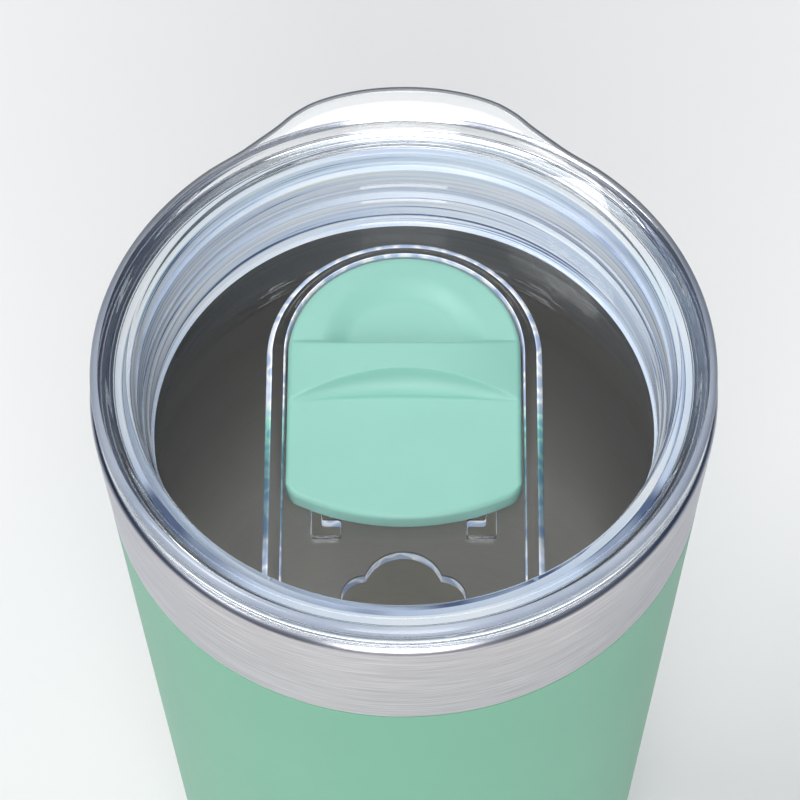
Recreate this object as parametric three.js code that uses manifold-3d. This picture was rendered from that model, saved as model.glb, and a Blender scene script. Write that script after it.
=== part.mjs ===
// Insulated tumbler with a clear slide lid. Millimetres, +Z up, origin at the centre of the foot.
// The drinking side of the lid faces -Y and its pull tab faces +Y.
import * as THREE from "three";
import { mergeVertices } from "three/addons/utils/BufferGeometryUtils.js";
import Module from "manifold-3d";

const wasm = await Module();
wasm.setup();

// ---- driving dimensions -------------------------------------------------------------------
const gap = 0.3; // running and seating clearance between separate pieces
const turns = 60; // facets round the axis

// cup
const lipZ = 165.0; // top of the steel lip
const bandZ = 144.1; // lower edge of the bare steel band
const bandR = 43.65; // outer radius of the cup at the lower edge of the band
const taper = 0.079; // growth of radius per mm of height
const sheet = 0.5; // steel sheet thickness
const coatThick = 0.3; // colour coat thickness, drawn heavy
const coatStep = coatThick + gap; // how far the shell steps in under its coat
const footZ = 3.0; // height of the bare steel foot under the coat
const cornerR = 2.5; // outer radius of the foot corner
const linerMouthR = 42.3; // inner radius at the mouth
const linerFloorZ = 7.5; // inside bottom of the cup
const linerCornerR = 8.0; // inside corner radius at the bottom

// lid
const rimZ = 168.6; // height of the widest circle of the lid
const rimR = 45.0; // radius of that circle
const floorTopZ = 152.6; // top of the lid's floor
const floorThick = 2.0;
const floorR = 36.9; // foot of the well wall
const tabTopZ = 169.6;
const tabThick = 1.9;
const railHigh = 3.0; // height of the guide rail above the floor
const railOutR = 20.3; // half width of the rail, outside
const railInR = 17.4; // half width of the rail, inside
const railOutY = 10.6; // centre of the rail's outer rear arc
const railInY = 11.3; // centre of the rail's inner rear arc

// slider
const slideW = railInR - gap; // half width
const slideBackY = railInY; // centre of its rear arc, in the open position
const slideTravel = 17.0; // open to closed, towards the drinking hole
const slideNoseR = 34.2; // radius of its front edge, centred on the lid when closed
const slideLowZ = floorTopZ + gap; // underside
const padZ = 155.6; // top of the flat pad
const humpHigh = 2.2; // height of the thumb hump over the pad
const dishDeep = 0.9; // depth of the finger dish behind the hump
const topRound = 0.7; // rounding of the slider's top edge
const hookX = [12.2, 13.05]; // hook leg, across
const hookY = [1.4, 3.8]; // hook leg, along, in the open position
const hookToeX = 9.4; // inner end of the hook's toe

// ---- helpers ------------------------------------------------------------------------------
const group = new THREE.Group();
group.name = "insulated_tumbler";

const outerR = (z) => bandR + taper * (z - bandZ);
const linerR = (z) => linerMouthR - taper * (lipZ - z);

function add(name, geometry, color, roughness, metalness, opacity = 1) {
  const material = new THREE.MeshStandardMaterial({
    color, roughness, metalness, opacity, transparent: opacity < 1,
  });
  const mesh = new THREE.Mesh(geometry, material);
  mesh.name = name;
  group.add(mesh);
  return mesh;
}

// Points of a circular arc in the (radius, height) half plane, angles in degrees.
function arc(r, z, radius, from, to, steps) {
  const points = [];
  for (let i = 0; i <= steps; i += 1) {
    const angle = THREE.MathUtils.degToRad(from + ((to - from) * i) / steps);
    points.push([r + radius * Math.cos(angle), z + radius * Math.sin(angle)]);
  }
  return points;
}

// A solid turned about Z from a profile that runs anticlockwise in (radius, height).
function turned(profile, segments = turns) {
  const points = profile.map(([r, z]) => new THREE.Vector2(Math.max(r, 0), z));
  return new THREE.LatheGeometry(points, segments).rotateX(Math.PI / 2);
}

// A closed ring section: the profile comes back to its first point.
function ring(profile, segments = turns) {
  return turned([...profile, profile[0]], segments);
}

// A flat outline raised from z0 to z1.
function prism(shape, z0, z1) {
  const settings = { depth: z1 - z0, bevelEnabled: false, curveSegments: 16 };
  return new THREE.ExtrudeGeometry(shape, settings).translate(0, 0, z0);
}

function box(x0, x1, y0, y1, z0, z1) {
  const geometry = new THREE.BoxGeometry(x1 - x0, y1 - y0, z1 - z0);
  return geometry.translate((x0 + x1) / 2, (y0 + y1) / 2, (z0 + z1) / 2);
}

function solid(geometry) {
  const bare = geometry.clone();
  bare.deleteAttribute("normal");
  bare.deleteAttribute("uv");
  const merged = mergeVertices(bare, 1e-4);
  const index = merged.index.array;
  const faces = [];
  for (let i = 0; i < index.length; i += 3) {
    const [a, b, c] = [index[i], index[i + 1], index[i + 2]];
    if (a !== b && b !== c && c !== a) {
      faces.push(a, b, c);
    }
  }
  return new wasm.Manifold(new wasm.Mesh({
    numProp: 3,
    vertProperties: new Float32Array(merged.attributes.position.array),
    triVerts: new Uint32Array(faces),
  }));
}

function toGeometry(manifold) {
  const mesh = manifold.getMesh();
  const geometry = new THREE.BufferGeometry();
  geometry.setAttribute("position", new THREE.BufferAttribute(mesh.vertProperties, 3));
  geometry.setIndex(new THREE.BufferAttribute(mesh.triVerts, 1));
  return geometry;
}

// ---- cup ----------------------------------------------------------------------------------
const steel = 0xc4c2c4;
const shellInside = coatStep + sheet;
const footR = outerR(cornerR) - cornerR;
const flangeR = 27.5; // opening in the foot, closed by the base cap and its cover

add("outer_shell", ring([
  [flangeR, 0],
  ...arc(footR, cornerR, cornerR, -90, 0, 5),
  [outerR(footZ - gap), footZ - gap],
  [outerR(footZ - gap) - coatStep, footZ],
  [outerR(bandZ - gap) - coatStep, bandZ - gap],
  [outerR(bandZ), bandZ],
  [outerR(lipZ - 0.7), lipZ - 0.7],
  [outerR(lipZ) - 0.4, lipZ],
  [outerR(lipZ) - shellInside, lipZ],
  ...arc(footR, cornerR, cornerR - sheet, 0, -90, 5).map(
    ([r, z]) => [Math.min(r, outerR(z) - shellInside), z],
  ),
  [flangeR, sheet],
]), steel, 0.35, 1);

add("colour_coat", ring([
  [outerR(footZ + gap) - coatThick, footZ + gap],
  [outerR(footZ + gap), footZ + gap],
  [outerR(bandZ - gap), bandZ - gap],
  [outerR(bandZ - gap) - coatThick, bandZ - gap],
]), 0x86cdb4, 0.5, 0);

const linerLowR = linerR(linerFloorZ + linerCornerR);
const linerCorner = [linerLowR - linerCornerR, linerFloorZ + linerCornerR];
const lipR = 0.5;
add("inner_liner", turned([
  [0, linerFloorZ - sheet],
  ...arc(...linerCorner, linerCornerR + sheet, -90, 0, 6),
  [linerR(lipZ - 1.4) + sheet, lipZ - 1.4],
  [outerR(lipZ) - shellInside - gap, lipZ - 0.9],
  [outerR(lipZ) - shellInside - gap, lipZ],
  ...arc(linerMouthR + lipR, lipZ - lipR, lipR, 90, 180, 3),
  ...arc(...linerCorner, linerCornerR, 0, -90, 6),
  [0, linerFloorZ],
]), steel, 0.35, 1);

// The base cap closes the shell. Its raised centre holds the hole the air is drawn out through.
const capZ = sheet + gap;
const dimpleR = 6.0;
const dimpleZ = 2.2;
const ventR = 0.8;
add("base_cap", ring([
  [ventR, dimpleZ],
  [dimpleR - sheet, dimpleZ],
  [dimpleR, capZ],
  [footR + 0.4, capZ],
  [footR + 0.7, capZ + sheet],
  [dimpleR + sheet / 2, capZ + sheet],
  [dimpleR - sheet / 2, dimpleZ + sheet],
  [ventR, dimpleZ + sheet],
]), steel, 0.4, 1);

add("seal_bead", turned([
  [0, sheet + gap],
  [1.6, sheet + gap],
  [2.2, sheet + gap + 0.4],
  [1.6, dimpleZ - gap],
  [0, dimpleZ - gap],
], 24), 0x6b7078, 0.3, 0.6);

add("base_cover", turned([
  [0, 0],
  [flangeR - gap - 0.2, 0],
  [flangeR - gap, 0.2],
  [flangeR - gap, sheet],
  [0, sheet],
]), steel, 0.4, 1);

// Getter tablet in its holder, in the vacuum space on top of the base cap.
const getterX = 17.0;
const holderZ = capZ + sheet + gap;
const holder = add("getter_holder", turned([
  [0, holderZ],
  [4.6, holderZ],
  [5.0, holderZ + 0.4],
  [5.0, holderZ + 2.4],
  [4.5, holderZ + 2.4],
  [4.5, holderZ + 0.5],
  [0, holderZ + 0.5],
], 32), steel, 0.4, 1);
holder.position.x = getterX;

const tabletZ = holderZ + 0.5 + gap;
const tablet = add("getter", turned([
  [0, tabletZ],
  [3.7, tabletZ],
  [4.0, tabletZ + 0.4],
  [4.0, tabletZ + 1.4],
  [3.7, tabletZ + 1.8],
  [0, tabletZ + 1.8],
], 32), 0x4a4a50, 0.9, 0.2);
tablet.position.x = getterX;

// ---- lid ----------------------------------------------------------------------------------
const seatZ = lipZ + gap; // underside of the rim
const grooveR = 39.7;
const grooveZ = [158.7, 162.8];

const lidTurned = turned([
  [0, floorTopZ - floorThick],
  [38.6, floorTopZ - floorThick],
  [39.4, 151.4],
  [39.9, 156.3],
  [40.7, 157.1],
  [40.85, grooveZ[0]],
  [grooveR, grooveZ[0]],
  [grooveR, grooveZ[1]],
  [41.0, grooveZ[1]],
  [41.1, seatZ],
  [rimR - 0.4, seatZ],
  [rimR - 0.1, seatZ + 0.4],
  ...arc(rimR - 1.2, rimZ, 1.2, 0, 90, 4),
  [42.6, rimZ + 1.2],
  [40.4, rimZ + 0.7],
  [39.6, rimZ],
  [38.9, 166.8],
  [37.9, 160.8],
  [37.7, 160.6],
  [37.2, 158.0],
  [37.05, 157.8],
  ...arc(floorR - 1, floorTopZ + 1, 1, 0, -90, 3),
  [0, floorTopZ],
]);

// The tab widens smoothly out of the rim: radius against angle from +Y, mirrored.
const tabEdge = [[0, 49.8], [8.5, 49.6], [16, 48.9], [20.5, 47.8], [24, 46.6], [28, 45.7], [33, 44.9]];
const polar = ([deg, r], side) => {
  const a = THREE.MathUtils.degToRad(deg);
  return [side * r * Math.sin(a), r * Math.cos(a)];
};
const tabInner = [[33, 43.6], [20, 43.6], [8, 43.6]];
const tabRight = [...tabEdge].reverse().map((p) => polar(p, 1));
const tabLeft = tabEdge.slice(1).map((p) => polar(p, -1));
const tabBack = [
  ...tabInner.map((p) => polar(p, -1)),
  ...[...tabInner].reverse().map((p) => polar(p, 1)),
];
const tabOutline = [...tabRight, ...tabLeft, ...tabBack].map(([x, y]) => new THREE.Vector2(x, y));
const tab = prism(new THREE.Shape(tabOutline), tabTopZ - tabThick, tabTopZ);

// U-shaped guide rail, open towards the drinking side where it runs into the wall.
const railFrontY = -33.2;
const rail = new THREE.Shape();
rail.moveTo(railOutR, railFrontY);
rail.lineTo(railOutR, railOutY);
rail.absarc(0, railOutY, railOutR, 0, Math.PI, false);
rail.lineTo(-railOutR, railFrontY);
rail.lineTo(-railInR, railFrontY);
rail.lineTo(-railInR, railInY);
rail.absarc(0, railInY, railInR, Math.PI, 0, true);
rail.lineTo(railInR, railFrontY);
rail.closePath();
const railSolid = prism(rail, floorTopZ - 0.6, floorTopZ + railHigh);

// Drinking hole: a round middle with a smaller lobe each side.
const through = [floorTopZ - floorThick - 1, floorTopZ + 1];
function drill(x, y, radius) {
  const geometry = new THREE.CylinderGeometry(radius, radius, through[1] - through[0], 32);
  return solid(geometry.rotateX(Math.PI / 2).translate(x, y, (through[0] + through[1]) / 2));
}

let lid = solid(lidTurned).add(solid(tab)).add(solid(railSolid));
lid = lid.subtract(drill(0, -26.96, 5.7));
for (const side of [-1, 1]) {
  lid = lid.subtract(drill(side * 5.3, -28.8, 3.6));
  // L-shaped slot: the toe of the hook drops in at the foot and runs back along the arm.
  const arm = [11.85 * side, 13.4 * side].sort((a, b) => a - b);
  const foot = [9.1 * side, 13.4 * side].sort((a, b) => a - b);
  lid = lid.subtract(solid(box(...arm, -17, hookY[1] + gap, ...through)));
  lid = lid.subtract(solid(box(...foot, -18.4, -15.8, ...through)));
}
add("lid_body", toGeometry(lid), 0xdfe8f2, 0.08, 0, 0.3);

const sealR = (z) => linerR(z) - gap;
const sealBackR = grooveR + gap;
const sealFrontR = 40.9;
add("lid_gasket", ring([
  [sealBackR, grooveZ[0] + gap],
  [sealFrontR, grooveZ[0] + gap],
  [sealR(159.8), 159.8],
  [sealFrontR, 160.5],
  [sealFrontR, 161.0],
  [sealR(161.8), 161.8],
  [sealFrontR, grooveZ[1] - gap],
  [sealBackR, grooveZ[1] - gap],
]), 0xe8ecee, 0.5, 0, 0.6);

// ---- slider -------------------------------------------------------------------------------
const noseY = slideTravel; // centre of the nose arc in the open position
const bulge = (x) => 1 - (x / slideW) ** 2; // 1 on the centre line, 0 at the sides
const frontY = (x) => noseY - Math.sqrt(slideNoseR ** 2 - x ** 2);
const rearY = (x) => slideBackY + Math.sqrt(Math.max(slideW ** 2 - x ** 2, 0));
const grooveY = (x) => 2.5 + 0.8 * bulge(x); // where the pad meets the scoop
const crestY = (x) => 2.9 + 4.2 * bulge(x); // top of the scoop
const humpBackY = (x) => 13.1 - 0.66 * humpHigh * bulge(x);
const humpFootY = (x) => humpBackY(x) + 0.3 + 1.8 * bulge(x);
const dishY = 12.8;

// Height of the slider's top: flat pad, scoop, thumb hump, and the dish behind the hump.
function topHeight(x, y) {
  const high = humpHigh * Math.max(bulge(x), 0);
  let z = padZ;
  if (y > grooveY(x) && y < crestY(x)) {
    const t = (y - grooveY(x)) / (crestY(x) - grooveY(x));
    z += high * (t * t - 0.55 * t * (1 - t));
  } else if (y >= crestY(x) && y <= humpBackY(x)) {
    z += high;
  } else if (y > humpBackY(x)) {
    const dish = dishDeep * THREE.MathUtils.smoothstep(12.2 - Math.hypot(x, y - dishY), 0, 4);
    const fall = THREE.MathUtils.clamp((y - humpBackY(x)) / (humpFootY(x) - humpBackY(x)), 0, 1);
    z += high * (1 - fall) - dish * fall;
  }
  const side = slideW - Math.abs(x);
  const back = y > slideBackY ? slideW - Math.hypot(x, y - slideBackY) : side;
  const inset = THREE.MathUtils.clamp(topRound - Math.min(side, y - frontY(x), back), 0, topRound);
  return z - topRound + Math.sqrt(topRound ** 2 - inset ** 2);
}

// Rows run along the slider between its named lines, columns across it.
function sliderPlate() {
  const lines = [frontY, grooveY, crestY, humpBackY, humpFootY, rearY];
  const shares = [
    [0, 0.015, 0.05, 0.2, 0.5, 0.8],
    [0, 0.25, 0.5, 0.75],
    [0, 0.5],
    [0, 0.5],
    [0, 0.15, 0.3, 0.45, 0.6, 0.8, 0.95, 0.985, 1],
  ];
  const rows = [];
  shares.forEach((list, k) => {
    for (const share of list) {
      rows.push((x) => lines[k](x) + share * (lines[k + 1](x) - lines[k](x)));
    }
  });
  const columns = 24;
  const n = rows.length;
  const plane = (columns + 1) * n;
  const positions = [];
  for (const top of [false, true]) {
    for (let i = 0; i <= columns; i += 1) {
      const x = slideW * Math.sin(Math.PI * (i / columns - 0.5));
      rows.forEach((row, j) => {
        const y = Math.min(row(x), rearY(x) - 0.04 * (n - 1 - j));
        positions.push(x, y, top ? topHeight(x, y) : slideLowZ);
      });
    }
  }
  const index = [];
  const quad = (a, b, c, d) => index.push(a, b, c, a, c, d);
  for (let i = 0; i < columns; i += 1) {
    for (let j = 0; j < n - 1; j += 1) {
      const a = i * n + j;
      quad(plane + a, plane + a + n, plane + a + n + 1, plane + a + 1);
      quad(a, a + 1, a + n + 1, a + n);
    }
    const front = i * n;
    const rear = front + n - 1;
    quad(front, front + n, plane + front + n, plane + front);
    quad(rear + n, rear, plane + rear, plane + rear + n);
  }
  for (let j = 0; j < n - 1; j += 1) {
    const right = columns * n + j;
    quad(right, right + 1, plane + right + 1, plane + right);
    quad(j + 1, j, plane + j, plane + j + 1);
  }
  const geometry = new THREE.BufferGeometry();
  geometry.setAttribute("position", new THREE.Float32BufferAttribute(positions, 3));
  geometry.setIndex(index);
  return geometry;
}

let sliderSolid = solid(sliderPlate());
const toeTopZ = floorTopZ - floorThick - gap;
for (const side of [-1, 1]) {
  const leg = [hookX[0] * side, hookX[1] * side].sort((a, b) => a - b);
  const toe = [hookToeX * side, hookX[1] * side].sort((a, b) => a - b);
  sliderSolid = sliderSolid.add(solid(box(...leg, ...hookY, toeTopZ - 0.6, slideLowZ + 0.5)));
  sliderSolid = sliderSolid.add(solid(box(...toe, ...hookY, toeTopZ - 1.3, toeTopZ)));
}
add("slider", toGeometry(sliderSolid), 0x9ed6c8, 0.55, 0);

for (const mesh of group.children) {
  mesh.geometry.computeVertexNormals();
}

export default group;
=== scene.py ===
import math

import bmesh
import bpy
from mathutils import Matrix, Vector


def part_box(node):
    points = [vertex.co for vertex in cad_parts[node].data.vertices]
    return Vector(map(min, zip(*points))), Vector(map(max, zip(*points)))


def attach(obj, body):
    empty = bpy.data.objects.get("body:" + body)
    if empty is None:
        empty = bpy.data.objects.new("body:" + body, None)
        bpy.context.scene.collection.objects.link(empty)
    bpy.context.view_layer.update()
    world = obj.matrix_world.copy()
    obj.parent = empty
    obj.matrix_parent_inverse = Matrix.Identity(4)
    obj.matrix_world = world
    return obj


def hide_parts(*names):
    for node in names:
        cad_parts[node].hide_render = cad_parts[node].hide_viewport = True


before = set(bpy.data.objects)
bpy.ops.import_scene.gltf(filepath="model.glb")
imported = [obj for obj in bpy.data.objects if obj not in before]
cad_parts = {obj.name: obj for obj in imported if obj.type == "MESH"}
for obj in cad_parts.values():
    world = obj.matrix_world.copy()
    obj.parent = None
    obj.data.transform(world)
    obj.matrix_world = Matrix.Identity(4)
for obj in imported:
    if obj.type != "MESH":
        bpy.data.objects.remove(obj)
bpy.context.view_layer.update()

MM = 0.001

# ---- sizes in millimetres, in the frame of the CAD model -----------------------------------
TURNS = 360                # steps round a turned piece

# cup
LIP_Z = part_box("outer_shell")[1].z / MM
BAND_Z = 144.1             # the coat ends here, under the bare band
BAND_R = 43.65
TAPER = 0.079              # radius gained for each unit of height
FOOT_Z = 3.0
CORNER_R = 2.5             # rounding of the foot
FLANGE_R = 27.5            # where the wall turned in under the foot ends
SHEET = 0.5
COAT = 0.3
COAT_PROUD = 0.02          # how far the coat stands out of the cone
STEP = 0.1                 # half the height of the step at each end of the coat
GAP = 0.05                 # between the coat and the wall
SEAM = 0.03                # between the two walls where they meet on the lip
MOUTH_R = 42.3
LINER_FLOOR_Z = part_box("inner_liner")[0].z / MM + SHEET
LINER_CORNER_R = 8.0

# lid
RIM_Z = 168.6
RIM_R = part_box("lid_body")[1].x / MM
FLOOR_Z = 152.6
FLOOR_THICK = 2.0
FLOOR_LOW_Z = FLOOR_Z - FLOOR_THICK
FLOOR_R = 36.9
SEAT_Z = LIP_Z + 0.3
TOP_Z = 169.7
EDGE_R = 0.93              # rounding of the rim and tab
TAB_THICK = 1.95
GROOVE_R = 39.7
GROOVE_Z = (158.7, 162.8)
GLOW_SKIN_DEPTH = 0.05         # of the skin that carries the wall's painted glow, inside the well wall's outer face
# radius of the pull tab against the angle from +Y in degrees
TAB = ((0, 49.8), (8.5, 49.6), (16, 48.9), (20.5, 47.8), (24, 46.6), (28, 45.7), (33, 45.0), (40, 45.0))
SLOT = [(9.1, -18.4), (13.4, -18.4), (13.4, 4.1), (11.85, 4.1), (11.85, -15.8), (9.1, -15.8)]
SLOT_MIRRORED = [(-x, y) for x, y in reversed(SLOT)]
SLOT_CORNER_R = 0.45
# round middle of the drinking hole with a smaller lobe each side: x, y, radius
HOLE = ((0.0, -26.96, 5.7), (-5.3, -28.8, 3.6), (5.3, -28.8, 3.6))
HOLE_CENTRE = Vector((0.0, -28.3))

# guide rail, between an inner and an outer U
RAIL_TOP_Z = FLOOR_Z + 3.0
RAIL_OUT_R, RAIL_OUT_Y = 20.3, 10.6
RAIL_IN_R, RAIL_IN_Y = 17.4, 11.3
RAIL_END_Y = -33.2
RAIL_LEG_STEPS = 12
RAIL_BEND_STEPS = 72
CROWN = 0.08
RIDGE_R = 0.8

# slider
SLIDE_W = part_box("slider")[1].x / MM
SLIDE_TRAVEL = 17.0
SLIDE_NOSE_R = 34.2
NOSE_CORNER_R = 1.8
SLIDE_LOW_Z = FLOOR_Z + 0.3
SLIDE_EDGE_R = 0.75
PAD_Z = 155.6
HUMP = 2.2
DISH = 1.15
DISH_Y = 12.8
DISH_R = 12.4
DISH_SIDE = 4.2            # width of the dish's sloping side
SCOOP = 0.9
CREST_LIP = 0.16
GROOVE_LIP = 0.1
COLUMNS = 150


def outer_r(z):
    return BAND_R + TAPER * (z - BAND_Z)


def liner_r(z):
    return MOUTH_R - TAPER * (LIP_Z - z)


FOOT_R = outer_r(CORNER_R) - CORNER_R
LIP_MID_R = (outer_r(LIP_Z) + MOUTH_R) / 2
LIP_ROUND = outer_r(LIP_Z) - LIP_MID_R


def smoothstep(x, low, high):
    t = min(max((x - low) / (high - low), 0.0), 1.0)
    return t * t * (3 - 2 * t)


# ---- mesh helpers ---------------------------------------------------------------------------
def smooth(mesh, angle):
    for polygon in mesh.polygons:
        polygon.use_smooth = True
    mesh.set_sharp_from_angle(angle=math.radians(angle))


def finish_mesh(name, bm, angle=32):
    bmesh.ops.remove_doubles(bm, verts=bm.verts, dist=1e-6)
    bmesh.ops.recalc_face_normals(bm, faces=bm.faces)
    mesh = bpy.data.meshes.new(name)
    bm.to_mesh(mesh)
    bm.free()
    smooth(mesh, angle)
    obj = bpy.data.objects.new(name, mesh)
    bpy.context.scene.collection.objects.link(obj)
    return obj


def arc(r, z, radius, start, end, steps):
    """Points of an arc in the (radius, height) half plane, angles in degrees."""
    out = []
    for i in range(steps + 1):
        a = math.radians(start + (end - start) * i / steps)
        out.append((r + radius * math.cos(a), z + radius * math.sin(a)))
    return out


def corner_arc(centre, radius, start, end, steps):
    """Points from start to end round a centre, the short way, in the plane."""
    a0 = math.atan2(*(start - centre).yx)
    a1 = math.atan2(*(end - centre).yx)
    swing = (a1 - a0 + math.pi) % (2 * math.pi) - math.pi
    angles = [a0 + swing * k / steps for k in range(steps + 1)]
    return [(centre.x + radius * math.cos(a), centre.y + radius * math.sin(a)) for a in angles]


def rounded(points, closed=False, steps=5):
    """Rounds each corner given as (r, z, radius); a corner given as (r, z) stays sharp."""
    out = []
    count = len(points)
    for i, corner in enumerate(points):
        p = Vector(corner[:2])
        radius = corner[2] if len(corner) > 2 else 0
        if radius == 0 or (not closed and i in (0, count - 1)):
            out.append(tuple(p))
            continue
        a = Vector(points[i - 1][:2]) - p
        b = Vector(points[(i + 1) % count][:2]) - p
        half = a.angle(b) / 2
        reach = min(radius / math.tan(half), a.length * 0.49, b.length * 0.49)
        radius = reach * math.tan(half)
        centre = p + (a.normalized() + b.normalized()).normalized() * (radius / math.sin(half))
        start, end = p + a.normalized() * reach, p + b.normalized() * reach
        out += corner_arc(centre, radius, start, end, steps)
    return out


def skin(bm, rows, closed):
    """Faces round a tube whose cross-sections are rows of vertices, capped if it isn't a ring."""
    count = len(rows[0])
    for i in range(len(rows) if closed else len(rows) - 1):
        a, b = rows[i], rows[(i + 1) % len(rows)]
        for j in range(count):
            k = (j + 1) % count
            bm.faces.new((a[j], b[j], b[k], a[k]))
    if not closed:
        bm.faces.new(rows[0])
        bm.faces.new(rows[-1])


def revolve(name, section, closed=False, turns=TURNS, caps=False):
    """Turns a section about Z. section is a list of (r, z), or a function of the angle."""
    bm = bmesh.new()
    rows = []
    for i in range(turns):
        a = 2 * math.pi * i / turns
        points = section(a) if callable(section) else section
        rows.append([
            bm.verts.new((r * MM * math.sin(a), r * MM * math.cos(a), z * MM)) for r, z in points
        ])
    count = len(rows[0])
    for i in range(turns):
        a, b = rows[i], rows[(i + 1) % turns]
        for j in range(count if closed else count - 1):
            k = (j + 1) % count
            bm.faces.new((a[j], b[j], b[k], a[k]))
    if caps:
        bm.faces.new([row[0] for row in rows])
        bm.faces.new([row[-1] for row in rows])
    return finish_mesh(name, bm)


def prism_stack(name, levels):
    """A closed solid through outlines of equal count, each level (z, [(x, y), ...])."""
    bm = bmesh.new()
    rows = [[bm.verts.new((x * MM, y * MM, z * MM)) for x, y in ring] for z, ring in levels]
    skin(bm, rows, False)
    return finish_mesh(name, bm)


def strip(bm, path, section, closed):
    """A thin closed strip along a path of (x, y, outward x, outward y)."""
    rows = []
    for x, y, out_x, out_y in path:
        rows.append([
            bm.verts.new(((x + out_x * a) * MM, (y + out_y * a) * MM, z * MM)) for a, z in section
        ])
    skin(bm, rows, closed)


def with_outward(points):
    """Adds the outward direction to each point of a closed outline."""
    out = []
    for i, (x, y) in enumerate(points):
        before, after = points[i - 1], points[(i + 1) % len(points)]
        way = Vector((after[0] - before[0], after[1] - before[1])).normalized()
        out.append((x, y, way.y, -way.x))
    return out


def combine(obj, other, operation):
    modifier = obj.modifiers.new("join", "BOOLEAN")
    modifier.operation = operation
    modifier.solver = "EXACT"
    modifier.object = other
    depsgraph = bpy.context.evaluated_depsgraph_get()
    mesh = bpy.data.meshes.new_from_object(obj.evaluated_get(depsgraph))
    obj.modifiers.clear()
    old, obj.data = obj.data, mesh
    bpy.data.meshes.remove(old)
    bpy.data.objects.remove(other)


# ---- cup ------------------------------------------------------------------------------------
def make_outer_wall():
    """Foot, wall set back under the coat, bare band and half of the lip, then down inside."""
    points = [(FLANGE_R, 0.0, 0.15)]
    points += arc(FOOT_R, CORNER_R, CORNER_R, -90, 0, 12)
    points += [
        (outer_r(FOOT_Z - STEP), FOOT_Z - STEP, 0.12),
        (outer_r(FOOT_Z + STEP) - COAT - GAP, FOOT_Z + STEP),
        (outer_r(BAND_Z - STEP) - COAT - GAP, BAND_Z - STEP),
        (outer_r(BAND_Z) - 0.03, BAND_Z, 0.12),
    ]
    points += arc(LIP_MID_R, LIP_Z - LIP_ROUND, LIP_ROUND, 4.5, 89, 14)
    points += [(LIP_MID_R, LIP_Z - SHEET), (outer_r(LIP_Z - 2) - 1.1, LIP_Z - 2.0)]
    points += arc(FOOT_R, CORNER_R, CORNER_R - 0.9, 0, -90, 8)
    points += [(FLANGE_R, SHEET)]
    return revolve("cup_outer_wall", rounded(points, True), closed=True)


def make_coat():
    end, steps = 0.3, 24
    low_z, high_z = FOOT_Z + STEP + 0.02, BAND_Z - STEP - 0.02
    low_r, high_r = outer_r(FOOT_Z + STEP), outer_r(BAND_Z - STEP)
    points = [(low_r - COAT, low_z, 0.05), (low_r + COAT_PROUD, low_z, 0.14)]
    for i in range(steps + 1):
        z = FOOT_Z + end + (BAND_Z - FOOT_Z - 2 * end) * i / steps
        points.append((outer_r(z) + COAT_PROUD, z))
    points += [(high_r + COAT_PROUD, high_z, 0.14), (high_r - COAT, high_z, 0.05)]
    return revolve("mint_coat", rounded(points, True), closed=True)


def make_inner_wall():
    corner = (liner_r(LINER_FLOOR_Z + LINER_CORNER_R) - LINER_CORNER_R, LINER_FLOOR_Z + LINER_CORNER_R)
    points = [(0.0, LINER_FLOOR_Z - SHEET)]
    points += arc(*corner, LINER_CORNER_R + SHEET, -90, 0, 12)
    points += [(liner_r(LIP_Z - 3) + SHEET, LIP_Z - 3.0), (LIP_MID_R - SEAM, LIP_Z - SHEET)]
    points += [(r - SEAM, z) for r, z in arc(LIP_MID_R, LIP_Z - LIP_ROUND, LIP_ROUND, 90, 177, 14)]
    points += [(liner_r(LIP_Z - 4 - 14 * i), LIP_Z - 4.0 - 14 * i) for i in range(10)]
    points += arc(*corner, LINER_CORNER_R, 0, -90, 16)
    points += [(corner[0] * k / 6, LINER_FLOOR_Z) for k in range(5, -1, -1)]
    return revolve("cup_inner_wall", points)


def make_foot_cover():
    edge_r = FLANGE_R - 0.2
    return revolve("foot_cover", rounded([
        (0.0, 0.0), (20.0, 0.0), (edge_r, 0.0, 0.2), (edge_r, SHEET, 0.1), (0.0, SHEET),
    ]), turns=180)


# ---- lid ------------------------------------------------------------------------------------
def tab_r(angle):
    """Radius of the lid's edge: a Catmull-Rom curve through TAB, and the rim elsewhere."""
    deg = abs(math.degrees((angle + math.pi) % (2 * math.pi) - math.pi))
    if deg >= TAB[-1][0]:
        return RIM_R
    knots = [(-TAB[1][0], TAB[1][1])] + list(TAB) + [(60, RIM_R)]
    for k in range(1, len(knots) - 2):
        if deg <= knots[k + 1][0]:
            break
    p0, p1, p2, p3 = knots[k - 1:k + 3]
    span = p2[0] - p1[0]
    t = (deg - p1[0]) / span
    m1 = (p2[1] - p0[1]) / (p2[0] - p0[0]) * span
    m2 = (p3[1] - p1[1]) / (p3[0] - p1[0]) * span
    h = (2 * t**3 - 3 * t**2 + 1, t**3 - 2 * t**2 + t, 3 * t**2 - 2 * t**3, t**3 - t**2)
    return h[0] * p1[1] + h[1] * m1 + h[2] * p2[1] + h[3] * m2


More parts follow.
